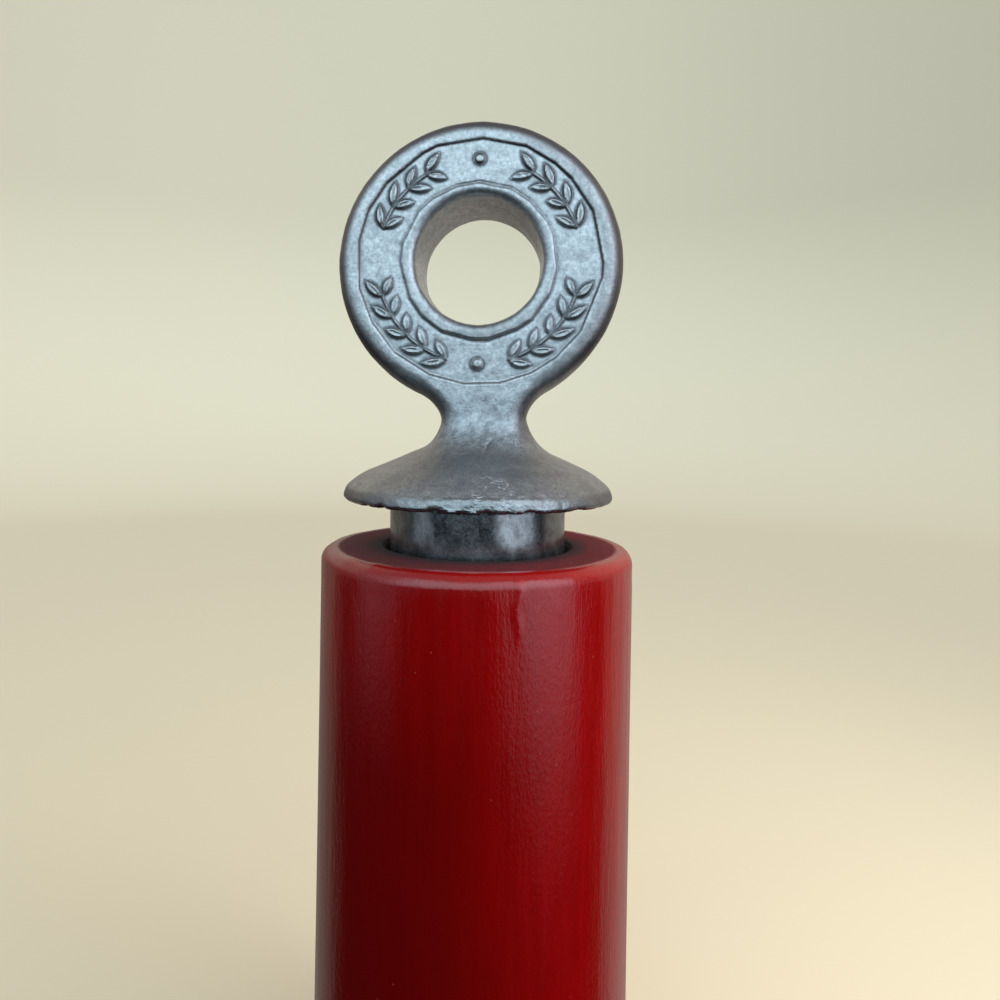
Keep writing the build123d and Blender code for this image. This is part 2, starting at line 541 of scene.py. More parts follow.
def thin_out(thing, chosen, most):
    """Joins faces among the chosen points, the flattest first, until the mesh has that many triangles.

    It is done in millimetres, because Decimate joins faces unevenly on a mesh this small in metres.
    """
    group = thing.vertex_groups.new(name="chosen")
    group.add(np.flatnonzero(chosen).tolist(), 1.0, "REPLACE")
    triangles = sum(len(face.vertices) - 2 for face in thing.data.polygons)
    fewer = thing.modifiers.new("fewer", "DECIMATE")
    fewer.ratio = min(1.0, most / triangles)
    fewer.vertex_group = group.name
    whole = thing.data
    whole.transform(Matrix.Scale(1 / MM, 4))
    evaluated = thing.evaluated_get(bpy.context.evaluated_depsgraph_get())
    thinned = bpy.data.meshes.new_from_object(evaluated)
    thing.modifiers.clear()
    thing.vertex_groups.clear()
    clean = bmesh.new()
    clean.from_mesh(thinned)
    bmesh.ops.dissolve_degenerate(clean, dist=SHORTEST_EDGE, edges=clean.edges[:])
    bmesh.ops.remove_doubles(clean, verts=clean.verts[:], dist=SHORTEST_EDGE)
    open_edges = [edge for edge in clean.edges if edge.is_boundary]
    bmesh.ops.holes_fill(clean, edges=open_edges, sides=0)
    clean.to_mesh(thinned)
    clean.free()
    thinned.transform(Matrix.Scale(MM, 4))
    thing.data = thinned
    bpy.data.meshes.remove(whole)
    thinned.name = thing.name


# Plug: the casting's surface
middle_steps = np.arange(0, 1.5, 0.3)
face_steps = np.arange(1.5, 2.5, 0.08)
bell_steps = np.arange(2.5, 7.4, 0.17)
half_depth = np.concatenate([middle_steps, face_steps, bell_steps])
net_x = np.arange(-NET_SIDE, NET_SIDE + 0.01, NET_STEP)
net_y = np.concatenate([-half_depth[:0:-1], half_depth])
shank_levels = np.arange(NET_BOTTOM_Z, NET_BELL_Z, SHANK_STEP)
bell_levels = np.arange(NET_BELL_Z, NET_RING_Z, BELL_STEP)
ring_levels = np.arange(NET_RING_Z, NET_TOP_Z, NET_STEP)
net_z = np.concatenate([shank_levels, bell_levels, ring_levels])
plug_points, plug_faces = surface_net(plug_field, (net_x, net_y, net_z))
plug_points = settle(plug_field, plug_points)
plug = make_mesh("pewter_plug", plug_points, plug_faces)

# Plug: low lumps all over the casting, and hammer dents at the front of its rim
plug_now = points_of(plug)
px, py, pz = plug_now.T
plug_slope = gradient(plug_field, plug_now)
plug_normal = plug_slope / np.maximum(np.linalg.norm(plug_slope, axis=1, keepdims=True), 0.1)
axis_radius = np.hypot(px, py)
from_battered = np.arctan2(px, -py) - BATTERED_TURN
lumps = sum(height * noise_at(plug_now, scale) for height, scale in LUMPS)
peened = bump(from_battered, DENTED_WIDTH) * rise(pz, FLANGE_Z, 0.1) * fall(pz, DENTED_TOP_Z, 1.1)
peened = peened * rise(axis_radius, DENTED_RADIUS, 0.8)
dents = np.flatnonzero(peened > 0.02)
dented = plug_now[dents]
large_dents = LARGE_DENTS[0] * noise_at(dented + 5, LARGE_DENTS[1])
small_dents = SMALL_DENTS[0] * noise_at(dented, SMALL_DENTS[1])
lumps[dents] += peened[dents] * (large_dents + small_dents)
plug_cast = plug_now + plug_normal * lumps[:, None]
plug.data.vertices.foreach_set("co", (plug_cast * MM).astype(np.float32).ravel())
plug.data.update()

# Plug: dirt in the creases and the nick
ring_rho = np.hypot(px, pz - RING_Z)
ring_theta = np.arctan2(px, pz - RING_Z)
facing = np.abs(plug_normal[:, 1])
on_faces = rise(facing, 0.3, 0.4)
_, crease_dirt = ring_face(ring_rho, ring_theta, py < 0)
crease_dirt = crease_dirt * rise(pz, DIRT_START_Z, 0.8) * on_faces
paint(plug, "grime", np.maximum(crease_dirt, NICK_DIRT * neck_nick(px, py, pz)))

# Plug: the front of the rim, rubbed bright
on_rim = rise(axis_radius, RIM_START_RADIUS, 0.25) * fall(np.abs(plug_normal[:, 2]), 0.75, 0.3)
on_rim = on_rim * fall(pz, RIM_TOP_Z, 0.4)
rim_front = bump(from_battered, RUBBED_WIDTH)
paint(plug, "rub", on_rim * rim_front)

# Plug: brown tarnish and painted shade on the ring's sides and outer edges, darker at the inner bead's foot
# and the rim's sides, and painted shade under the flange
darkening_foot = DARKENING_FOOT_Z + DARKENING_LEFT_LIFT * fall(px, NECK_OFFSET, 1.5)
beyond_bead = rise(ring_rho, DARKENING_START_RADIUS, 0.8)
on_sides = (0.5 + 0.5 * rise(pz, FULL_DARKENING_Z, 6)) * fall(facing, 0.955, 0.25)
on_sides = on_sides * rise(pz, darkening_foot, 0.8) * beyond_bead
inward = -plate_outline(px, pz)
on_right = smooth(px / 4)
ring_part = rise(pz, EDGE_DARKENING_Z, 1.5)
edge_reach = 0.6 + ring_part * (0.08 + 0.06 * on_right + 0.1 * bump(ring_theta, TOP_WIDTH))
edge_darkening = (NECK_EDGE_DARKENING + RING_EDGE_DARKENING * ring_part) * fall(inward, edge_reach, 0.43)
right_bead_darkening = RIGHT_BEAD_DARKENING * on_right * ring_part * fall(inward, RIGHT_BEAD_REACH, 0.2)
edge_darkening = np.maximum(edge_darkening, right_bead_darkening) * rise(pz, darkening_foot + 0.3, 0.8) * beyond_bead
low_bead = INNER_BEAD_DARKENING * bump(np.pi - np.abs(ring_theta), 0.7)
low_bead = low_bead * fall(ring_rho, INNER_BEAD_RADIUS, 0.15) * on_faces
# Painted shade under the flange
shade_under_flange = rise(-plug_normal[:, 2], 0.3, 0.3)
shade_under_flange = shade_under_flange * fall(pz, UNDERSIDE_TOP_Z, 0.2) * rise(pz, UNDERSIDE_BOTTOM_Z, 0.1)
rim_sides = RIM_SIDE_DARKENING * on_rim * (1 - rim_front)
paint(plug, "tarnish_and_shade", np.maximum.reduce([on_sides, edge_darkening, low_bead, shade_under_flange, rim_sides]))
thin_out(plug, (py > THINNED_BEHIND_Y) | (pz < THINNED_BELOW_Z), MOST_PLUG_TRIANGLES)

# Barrel: a lathe profile from the foot, up the wall, over the lip and down the bore, as radius and height
lip_turns = np.linspace(0, math.pi / 2, LIP_ROWS)
lip_radii = BARREL_RADIUS - LIP_RADIUS * (1 - np.cos(lip_turns))
lip_heights = BARREL_LENGTH - LIP_RADIUS * (1 - np.sin(lip_turns))
mouth_radius = BORE_RADIUS + MOUTH_CHAMFER
mouth_z = BARREL_LENGTH - MOUTH_CHAMFER
drill_rise = (BORE_FLOOR_Z - DRILL_POINT_Z) / BORE_RADIUS
barrel_rows = [
    (FOOT_FLAT_RADIUS, 0.0),
    (BARREL_RADIUS - FOOT_CHAMFER - NEAR_ROW, 0.0),
    (BARREL_RADIUS - FOOT_CHAMFER, CLOSE_ROW),
    (BARREL_RADIUS - SOFT_ROW, FOOT_CHAMFER - NEAR_ROW),
    (BARREL_RADIUS, FOOT_CHAMFER + SOFT_ROW),
]
wall_heights = np.linspace(WALL_START_Z, BARREL_LENGTH - LIP_RADIUS - FAR_ROW, WALL_ROWS)
barrel_rows += [(BARREL_RADIUS, z) for z in wall_heights]
barrel_rows += list(zip(lip_radii, lip_heights))
barrel_rows += [(r, BARREL_LENGTH) for r in np.linspace(TOP_FLAT_RADIUS, mouth_radius + NEAR_ROW, TOP_ROWS)]
barrel_rows += [(mouth_radius, BARREL_LENGTH - CLOSE_ROW), (BORE_RADIUS + CLOSE_ROW, mouth_z)]
barrel_rows += [(BORE_RADIUS, z) for z in np.linspace(mouth_z - FAR_ROW, BORE_FLOOR_Z + FAR_ROW, BORE_ROWS)]
barrel_rows += [(BORE_RADIUS - NEAR_ROW, BORE_FLOOR_Z - SOFT_ROW)]
barrel_rows += [(r, DRILL_POINT_Z + r * drill_rise) for r in (3.0, 1.0)]

barrel_angles = np.arange(BARREL_SEGMENTS) * TURN / BARREL_SEGMENTS
barrel_rings = [ring_points(radius, z, barrel_angles) for radius, z in barrel_rows]
barrel_points = np.concatenate([*barrel_rings, np.array([[0, 0, 0], [0, 0, DRILL_POINT_Z]])])
last_row = (len(barrel_rows) - 1) * BARREL_SEGMENTS
foot_pole = last_row + BARREL_SEGMENTS
barrel_faces = []
for low in range(0, last_row, BARREL_SEGMENTS):
    barrel_faces += strip_faces(low, low + BARREL_SEGMENTS, BARREL_SEGMENTS)
barrel_faces += [face[::-1] for face in fan_faces(foot_pole, 0, BARREL_SEGMENTS)]
barrel_faces += fan_faces(foot_pole + 1, last_row, BARREL_SEGMENTS)

# Grain, lacquer runs and the wavering lip push the wall in and out by hundredths of a millimetre
bx, by, bz = barrel_points.T
wall_radius = np.hypot(bx, by)
wall_turn = np.arctan2(bx, -by)
outside = rise(wall_radius, 6.6, 0.5)


def wall_noise(across, along, lift=0.0):
    """Noise over the barrel, at one scale across the grain and another along it."""
    return noise_at(np.stack([bx * across, by * across, bz * along + lift], 1), 1.0)


streak = wall_noise(1.5, 0.12)
fine_streak = wall_noise(4.0, 0.3, 40)
drips = bump(bz - (BARREL_LENGTH - DRIP_DROP), DRIP_SPREAD) * wall_noise(0.9, 0.9, 11)
from_run = (wall_turn - RUN_TURN - RUN_WANDER * np.sin(RUN_WANDER_TURN * bz)) * BARREL_RADIUS
run = bump(from_run, RUN_WIDTH) * rise(bz, RUN_END_Z, 1.2) * fall(bz, BARREL_LENGTH, 0.7)
raised = GRAIN_HEIGHT * streak + FINE_GRAIN_HEIGHT * fine_streak + DRIP_HEIGHT * drips + RUN_HEIGHT * run
sink = np.abs(LIP_WAVER * outside * rise(bz, LIP_WAVER_START_Z, 0.6) * wall_noise(0.45, 0.0))
swell = 1 + (outside * raised - LIP_DRAWN_IN * sink) / np.maximum(wall_radius, 1)
barrel_points = barrel_points * np.stack([swell, swell, np.ones_like(swell)], 1)
barrel_points[:, 2] -= LIP_DRAWN_DOWN * sink
barrel = make_mesh("birch_barrel", barrel_points, barrel_faces)

# Rosin: a thin uneven film with ragged ends
film_angles = np.arange(FILM_COLUMNS) * TURN / FILM_COLUMNS


def ragged_edge(lift):
    """How far an end of the film draws back, round the shank."""
    return ROSIN_RAGGED_EDGE * (0.5 + 0.5 * noise_at(ring_points(1, lift, film_angles), 2.3))


top_edge = ROSIN_TOP_Z - ragged_edge(0)
low_edge = ROSIN_BOTTOM_Z + ragged_edge(9)
film_core = ROSIN_INNER_RADIUS + ROSIN_LEAST
film_rings = []
for row in range(FILM_ROWS):
    level = low_edge + (top_edge - low_edge) * row / (FILM_ROWS - 1)
    at = ring_points(5, level, film_angles)
    thick = ROSIN_MEAN + ROSIN_PATCHES * noise_at(at, 0.8) + ROSIN_GRAINS * noise_at(at, 2.6)
    from_end = min(row, FILM_ROWS - 1 - row)
    thick = np.clip(thick, ROSIN_THINNEST, 1) * min(1, ROSIN_END + from_end / 2)
    film_rings.append(ring_points(film_core + (ROSIN_OUTER_RADIUS - film_core) * thick, level, film_angles))
film_rings.append(ring_points(ROSIN_INNER_RADIUS, top_edge, film_angles))
film_rings.append(ring_points(ROSIN_INNER_RADIUS, low_edge, film_angles))
film_faces = []
for row in range(len(film_rings)):
    following = (row + 1) % len(film_rings)
    film_faces += strip_faces(row * FILM_COLUMNS, following * FILM_COLUMNS, FILM_COLUMNS)
film = make_mesh("rosin_film", np.concatenate(film_rings), film_faces)


class Tree:
    """A node tree, with short ways to add the nodes that these materials use."""

    def __init__(self, owner):
        owner.use_nodes = True
        self.tree = owner.node_tree
        self.tree.nodes.clear()

    def new(self, kind, inputs, **settings):
        node = self.tree.nodes.new("ShaderNode" + kind)
        for name, value in settings.items():
            setattr(node, name, value)
        for name, value in inputs.items():
            socket = node.inputs[name]
            if isinstance(value, bpy.types.NodeSocket):
                self.tree.links.new(value, socket)
            else:
                socket.default_value = value
        return node

    def math(self, operation, a, b=0.0):
        return self.new("Math", {0: a, 1: b}, operation=operation).outputs[0]

    def times(self, a, b):
        return self.math("MULTIPLY", a, b)

    def plus(self, a, b):
        return self.math("ADD", a, b)

    def minus(self, a, b):
        return self.math("SUBTRACT", a, b)

    def size(self, value):
        """The value without its sign."""
        return self.math("ABSOLUTE", value)

    def ramp(self, value, low, high, to_low=0.0, to_high=1.0):
        inputs = {"Value": value, "From Min": low, "From Max": high, "To Min": to_low, "To Max": to_high}
        return self.new("MapRange", inputs, interpolation_type="SMOOTHSTEP").outputs[0]

    def mix(self, share, a, b):
        return self.new("Mix", {0: share, 6: a, 7: b}, data_type="RGBA").outputs[2]

    def noise(self, place, scale, detail=3.0, rough=0.55):
        inputs = {"Vector": place, "Scale": scale, "Detail": detail, "Roughness": rough}
        return self.new("TexNoise", inputs).outputs[0]

    def stretch(self, place, x, y, z):
        return self.new("VectorMath", {0: place, 1: (x, y, z)}, operation="MULTIPLY").outputs[0]

    def upright(self, place, z):
        """The coordinates with their heights scaled."""
        return self.stretch(place, 1.0, 1.0, z)

    def place(self):
        """The piece's own coordinates, in millimetres."""
        own = self.new("TexCoord", {}).outputs["Object"]
        return self.stretch(own, 1 / MM, 1 / MM, 1 / MM)

    def axes(self, place):
        return self.new("SeparateXYZ", {0: place}).outputs

    def painted(self, name):
        return self.new("Attribute", {}, attribute_name=name).outputs["Fac"]

    def skin(self, height, strength, depth):
        """Bump of that depth in millimetres."""
        inputs = {"Height": height, "Strength": strength, "Distance": depth * MM}
        return self.new("Bump", inputs).outputs[0]

    def finish(self, inputs):
        """Ends the tree in a surface with these inputs."""
        shader = self.new("BsdfPrincipled", inputs)
        self.new("OutputMaterial", {"Surface": shader.outputs[0]})


def rgb(red, green, blue):
    return (red, green, blue, 1.0)


# Colours of the pewter
PEWTER_DULL = rgb(0.48, 0.49, 0.50)
PEWTER_PALE = rgb(0.60, 0.61, 0.62)
PEWTER_GRAIN = rgb(0.31, 0.32, 0.33)
PEWTER_MOTTLE = rgb(0.26, 0.27, 0.28)
BELL_WARM = rgb(0.42, 0.405, 0.385)
BELL_STAIN = rgb(0.34, 0.305, 0.315)
BELL_SMUDGE = rgb(0.23, 0.225, 0.225)
BELL_SPECK = rgb(0.16, 0.145, 0.15)
BELL_SCAR = rgb(0.66, 0.63, 0.65)
NECK_DARK = rgb(0.19, 0.20, 0.21)
NECK_WORN = rgb(0.37, 0.385, 0.40)
# Brown tarnish and painted shade for the sides, edges and underside
TARNISH_AND_SHADE = rgb(0.12, 0.10, 0.10)
RUBBED = rgb(0.27, 0.28, 0.285)
GRIME = rgb(0.09, 0.10, 0.11)
# Dark patina with painted shade, for the shank under the flange
SHANK_PATINA_AND_SHADE = rgb(0.15, 0.15, 0.155)
SHANK_PALE = rgb(0.33, 0.34, 0.345)
SHANK_PIT = rgb(0.06, 0.06, 0.065)

# Where the pewter's looks change, each from one height or place to another
BELL_TOP_FADE = (38.2, 36.6)
BELL_FOOT_FADE = (34.3, 34.9)
NECK_TOP_FADE = (39.9, 39.0)
NECK_FOOT_FADE = (36.4, 37.2)
SCAR_TOP_FADE = (35.85, 35.4)
SCAR_FOOT_FADE = (34.6, 34.9)
SCAR_X = 1.1
SCAR_SIDE_FADE = (1.5, 0.6)
SCAR_FRONT_FADE = (-3.2, -3.8)
SHANK_TOP_FADE = (34.3, 34.2)
CASTING_FOOT_FADE = (34.2, 34.3)

# Colours of the lacquer, the wood below it and the rosin
LACQUER_DEEP = rgb(0.262, 0.0005, 0.0006)
LACQUER_BRIGHT = rgb(0.305, 0.0007, 0.0008)
LACQUER_PATCH = rgb(0.21, 0.0004, 0.0005)
LACQUER_PORE = rgb(0.12, 0.0003, 0.0003)
# Painted shade for the lacquer's foot and left side, where less light falls
LACQUER_SHADE = rgb(0.095, 0.0003, 0.0003)
LACQUER_SPECK = rgb(0.40, 0.08, 0.07)
LIP_WORN = rgb(0.27, 0.010, 0.010)
END_GRAIN_DARK = rgb(0.08, 0.003, 0.004)
END_GRAIN_RED = rgb(0.15, 0.005, 0.006)
# Dirt and painted shade round the mouth, under the flange
MOUTH_DIRT_AND_SHADE = rgb(0.03, 0.008, 0.009)
WOOD_DARK = rgb(0.20, 0.115, 0.055)
WOOD_PALE = rgb(0.40, 0.26, 0.14)
BORE_DIRT = rgb(0.035, 0.022, 0.016)
ROSIN_BROWN = rgb(0.34, 0.17, 0.045)
ROSIN_AMBER = rgb(0.62, 0.40, 0.15)
ROSIN_DUST = rgb(0.80, 0.70, 0.52)

# Where the barrel's looks change, each from one height, radius or x to another
# The first four: where the painted shade on the lacquer starts and ends
SHADE_FADE = (30.0, 22.0)
SHADE_RIGHT_FADE = (5.5, -1.0)
SHADE_LEFT_FADE = (1.5, -2.5)
SHADE_FOOT_FADE = (22.0, 14.0)
LIP_FADE = (30.6, 31.3)
TOP_FADE = (31.5, 31.7)
TOP_EDGE_FADE = (7.3, 6.95)
MOUTH_FADE = (6.1, 5.0)
BORE_FADE = (4.87, 4.79)
BORE_FOOT_FADE = (6.0, 6.5)
BORE_DIRT_FADE = (24.0, 31.7)


def pewter_material():
    """Cast pewter: dull blue-grey faces, sides darkened by brown tarnish and painted shade, dirt in the
    creases, a shank darkened by patina and painted shade and burnished in patches.
    """
    material = bpy.data.materials.new("cast_pewter")
    tree = Tree(material)
    place = tree.place()
    x, y, height = tree.axes(place)
    grime = tree.painted("grime")
    tarnish_and_shade = tree.painted("tarnish_and_shade")
    rub = tree.painted("rub")
    blotch = tree.noise(place, 0.9, 4.0)
    grain = tree.noise(place, 7.0, 5.0, 0.65)
    fine = tree.noise(place, 22.0, 3.0, 0.6)
    color = tree.mix(tree.ramp(blotch, 0.3, 0.7), PEWTER_DULL, PEWTER_PALE)
    color = tree.mix(tree.ramp(grain, 0.38, 0.68, 0.0, 0.55), color, PEWTER_GRAIN)

    # The bell is stained, smudged and speckled, and the neck is worn
    on_bell = tree.times(tree.ramp(height, *BELL_TOP_FADE), tree.ramp(height, *BELL_FOOT_FADE))
    stain = tree.mix(tree.ramp(tree.noise(place, 1.3, 4.0), 0.35, 0.65), BELL_WARM, BELL_STAIN)
    color = tree.mix(tree.times(on_bell, 0.75), color, stain)
    smudge = tree.ramp(tree.noise(tree.upright(place, 1.8), 0.75, 3.0), 0.35, 0.65, 0.0, 0.4)
    color = tree.mix(tree.times(smudge, on_bell), color, BELL_SMUDGE)
    specks = tree.ramp(tree.noise(place, 8.0, 4.0, 0.75), 0.50, 0.66, 0.0, 0.75)
    color = tree.mix(tree.times(specks, on_bell), color, BELL_SPECK)
    mottle = tree.ramp(tree.noise(place, 3.1, 4.0, 0.65), 0.34, 0.62, 0.55, 0.0)
    color = tree.mix(mottle, color, PEWTER_MOTTLE)
    on_neck = tree.times(tree.ramp(height, *NECK_TOP_FADE), tree.ramp(height, *NECK_FOOT_FADE))
    worn = tree.ramp(tree.noise(place, 2.4, 4.0, 0.7), 0.36, 0.62)
    worn = tree.mix(worn, NECK_DARK, NECK_WORN)
    color = tree.mix(tree.times(on_neck, 0.8), color, worn)

    # Tarnish with painted shade, rubbed rim and dirt, from the painted attributes
    color = tree.mix(tree.times(tarnish_and_shade, 0.95), color, TARNISH_AND_SHADE)
    rub_break = tree.ramp(blotch, 0.3, 0.6, 0.45, 1.0)
    color = tree.mix(tree.times(rub, rub_break), color, RUBBED)
    dirt_break = tree.ramp(tree.noise(place, 1.6, 3.0), 0.25, 0.55, 0.55, 1.0)
    color = tree.mix(tree.times(grime, dirt_break), color, GRIME)

    # A thin bright scar wanders across the front of the bell
    scar_line = tree.noise(tree.upright(place, 1.7), 1.9, 2.0)
    scar_edge = tree.size(tree.minus(scar_line, 0.5))
    scar_side = tree.ramp(tree.size(tree.minus(x, SCAR_X)), *SCAR_SIDE_FADE)
    scar_height = tree.times(tree.ramp(height, *SCAR_TOP_FADE), tree.ramp(height, *SCAR_FOOT_FADE))
    scar = tree.times(tree.times(scar_side, scar_height), tree.ramp(y, *SCAR_FRONT_FADE))
    scar = tree.times(scar, tree.ramp(scar_edge, 0.04, 0.012))
    scar = tree.times(scar, tree.ramp(tree.noise(place, 1.5, 2.0), 0.44, 0.56))
    color = tree.mix(tree.times(scar, 0.85), color, BELL_SCAR)

    # The shank is dark, from patina and from painted shade under the flange, and burnished in patches
    on_shank = tree.ramp(height, *SHANK_TOP_FADE)
    patch = tree.ramp(tree.noise(tree.upright(place, 0.7), 1.4, 5.0, 0.65), 0.35, 0.68)
    shank = tree.mix(patch, SHANK_PATINA_AND_SHADE, SHANK_PALE)
    shank = tree.mix(tree.ramp(grain, 0.56, 0.72, 0.0, 0.55), shank, SHANK_PIT)
    color = tree.mix(on_shank, color, shank)

    rough = tree.plus(tree.ramp(grain, 0.3, 0.7, 0.30, 0.44), tree.times(grime, 0.2))
    rough = tree.minus(rough, tree.times(on_shank, 0.14))
    rough = tree.minus(rough, tree.times(rub, 0.08))
    coarse = tree.plus(tree.times(on_bell, 1.0), 0.7)
    coarse = tree.plus(coarse, tree.times(on_neck, 0.3))
    skin = tree.plus(tree.times(grain, coarse), tree.times(fine, 0.35))
    skin = tree.times(skin, tree.ramp(height, *CASTING_FOOT_FADE, 0.12, 1.0))
    skin = tree.plus(skin, scar)
    hammered = tree.times(rub, tree.noise(tree.upright(place, 1.6), 2.2, 2.0))
    skin = tree.skin(tree.plus(skin, tree.times(hammered, 3.0)), 0.5, 0.05)
    tree.finish({"Base Color": color, "Roughness": rough, "Normal": skin, "Metallic": 0.92})
    return material


def lacquer_material():
    """Red lacquer over birch: vertical grain and pores, painted shade towards the foot and on the left, a
    worn mouth darkened by dirt and painted shade, bare wood in the bore.
    """
    material = bpy.data.materials.new("lacquered_birch")
    tree = Tree(material)
    place = tree.place()
    x, y, height = tree.axes(place)
    radius = tree.math("SQRT", tree.plus(tree.times(x, x), tree.times(y, y)))
    along = tree.upright(place, 0.06)
    streak = tree.noise(along, 1.6, 4.0, 0.6)
    pores = tree.noise(tree.upright(place, 0.35), 11.0, 3.0, 0.6)
    hue = tree.noise(place, 0.28, 3.0)
    color = tree.mix(tree.ramp(streak, 0.3, 0.7), LACQUER_DEEP, LACQUER_BRIGHT)
    color = tree.mix(tree.ramp(hue, 0.35, 0.75, 0.0, 0.35), color, LACQUER_PATCH)
    color = tree.mix(tree.ramp(pores, 0.58, 0.72, 0.0, 0.5), color, LACQUER_PORE)

    # Painted shade: the lacquer is darker towards the foot and on the left, where less light falls
    painted_shade = tree.times(tree.ramp(height, *SHADE_FADE), tree.ramp(x, *SHADE_RIGHT_FADE, 0.04, 0.55))
    painted_shade = tree.plus(painted_shade, tree.ramp(x, *SHADE_LEFT_FADE, 0.0, 0.15))
    painted_shade = tree.plus(painted_shade, tree.ramp(height, *SHADE_FOOT_FADE, 0.0, 0.1))
    color = tree.mix(painted_shade, color, LACQUER_SHADE)
    specks = tree.new("TexVoronoi", {"Vector": place, "Scale": 0.9}).outputs["Distance"]
    color = tree.mix(tree.ramp(specks, 0.045, 0.025, 0.0, 0.5), color, LACQUER_SPECK)
    lip_wear = tree.times(tree.ramp(height, *LIP_FADE), tree.ramp(hue, 0.25, 0.6, 0.1, 0.4))
    color = tree.mix(lip_wear, color, LIP_WORN)

    # The top is stained end grain, darkened round the mouth by dirt and by painted shade from the flange,
    # and the bore is bare
    on_top = tree.times(tree.ramp(height, *TOP_FADE), tree.ramp(radius, *TOP_EDGE_FADE))
    rings = tree.noise(tree.upright(place, 0.0), 3.0, 4.0, 0.65)
    end_grain = tree.mix(tree.ramp(rings, 0.3, 0.7), END_GRAIN_DARK, END_GRAIN_RED)
    end_grain = tree.mix(tree.ramp(radius, *MOUTH_FADE), end_grain, MOUTH_DIRT_AND_SHADE)
    color = tree.mix(on_top, color, end_grain)
    in_bore = tree.times(tree.ramp(radius, *BORE_FADE), tree.ramp(height, *BORE_FOOT_FADE))
    bare = tree.mix(tree.ramp(streak, 0.3, 0.7), WOOD_DARK, WOOD_PALE)
    bare = tree.mix(tree.ramp(height, *BORE_DIRT_FADE, 0.1, 0.8), bare, BORE_DIRT)
    color = tree.mix(in_bore, color, bare)

    gloss = tree.ramp(tree.noise(along, 3.0, 3.0), 0.3, 0.7, 0.16, 0.21)
    rough = tree.math("MAXIMUM", gloss, tree.times(tree.math("MAXIMUM", on_top, in_bore), 0.9))
    skin = tree.plus(tree.times(pores, 0.7), tree.times(streak, 0.3))
    skin = tree.plus(skin, tree.times(tree.noise(place, 4.0, 3.0), 0.25))
    brush = tree.noise(tree.upright(place, 0.14), 5.0, 2.0)
    skin = tree.skin(tree.plus(skin, tree.times(brush, 0.65)), 0.45, 0.04)
    tree.finish({"Base Color": color, "Roughness": rough, "Normal": skin, "Specular IOR Level": 0.64})
    return material


def rosin_material():
    """Rosin worked into a film: amber where it is thick, white and dusty where it has powdered."""
    material = bpy.data.materials.new("rosin_film")
    tree = Tree(material)
    place = tree.place()
    dust = tree.noise(place, 3.2, 5.0, 0.7)
    melt = tree.noise(place, 0.7, 4.0)
    color = tree.mix(tree.ramp(melt, 0.35, 0.65), ROSIN_BROWN, ROSIN_AMBER)
    color = tree.mix(tree.ramp(dust, 0.5, 0.7), color, ROSIN_DUST)
    rough = tree.ramp(dust, 0.4, 0.7, 0.35, 0.8)
    skin = tree.skin(dust, 0.6, 0.05)
    tree.finish({"Base Color": color, "Roughness": rough, "Normal": skin, "Subsurface Weight": 0.2})
    return material


def dress(thing, material, body, node):
    """Gives a piece its material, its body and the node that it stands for."""
    thing.data.materials.append(material)
    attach(thing, body)
    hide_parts(node)


dress(plug, pewter_material(), "plug", "plug")
dress(barrel, lacquer_material(), "barrel", "barrel")
dress(film, rosin_material(), "rosin_coat", "rosin_coat")

# Stage: a pale floor that turns up into a round wall
FLOOR_START = 40.0
FLOOR_RADIUS = 260.0
COVE_RADIUS = 180.0
COVE_ROWS = 20
WALL_HEIGHT = 900.0
STAGE_SEGMENTS = 96
STAGE_GAP = 0.02
STAGE_COLOR = rgb(0.72, 0.61, 0.43)
STAGE_GLOW = rgb(0.12, 0.095, 0.07)
stage_rows = [(FLOOR_START, 0.0), (FLOOR_RADIUS, 0.0)]
for turn in np.linspace(0, math.pi / 2, COVE_ROWS)[1:]:
    stage_rows.append((FLOOR_RADIUS + COVE_RADIUS * math.sin(turn), COVE_RADIUS * (1 - math.cos(turn))))
stage_rows.append((FLOOR_RADIUS + COVE_RADIUS, WALL_HEIGHT))
stage_angles = np.arange(STAGE_SEGMENTS) * TURN / STAGE_SEGMENTS
stage_points = [np.zeros((1, 3))]
stage_points += [ring_points(radius, z, stage_angles) for radius, z in stage_rows]
stage_faces = fan_faces(0, 1, STAGE_SEGMENTS)
for row in range(len(stage_rows) - 1):
    low = 1 + row * STAGE_SEGMENTS
    stage_faces += strip_faces(low + STAGE_SEGMENTS, low, STAGE_SEGMENTS)
stage = make_mesh("stage", np.concatenate(stage_points), stage_faces)
stage.location.z = -STAGE_GAP * MM
stage.visible_glossy = False
stage.visible_diffuse = False
stage.visible_shadow = False
stage_paint = bpy.data.materials.new("stage")
stage_inputs = {
    "Base Color": STAGE_COLOR,
    "Roughness": 0.9,
    "Specular IOR Level": 0.1,
    "Emission Color": STAGE_GLOW,
    "Emission Strength": 1.0,
}
Tree(stage_paint).finish(stage_inputs)
stage.data.materials.append(stage_paint)

# Light: large soft panels left, right and above the front, with a warm surround behind
world = bpy.data.worlds.new("studio")
bpy.context.scene.world = world
sky = Tree(world)
look_x, look_y, look_z = sky.axes(sky.new("TexCoord", {}).outputs["Generated"])
azimuth = sky.math("DEGREES", sky.math("ARCTAN2", look_x, sky.times(look_y, -1.0)))
elevation = sky.math("DEGREES", sky.math("ARCSINE", look_z))


def window(value, low, high, soft):
    """1 between two angles and 0 outside them, with soft edges."""
    opening = sky.ramp(value, sky.minus(low, soft), sky.plus(low, soft))
    return sky.times(opening, sky.ramp(value, high + soft, high - soft))


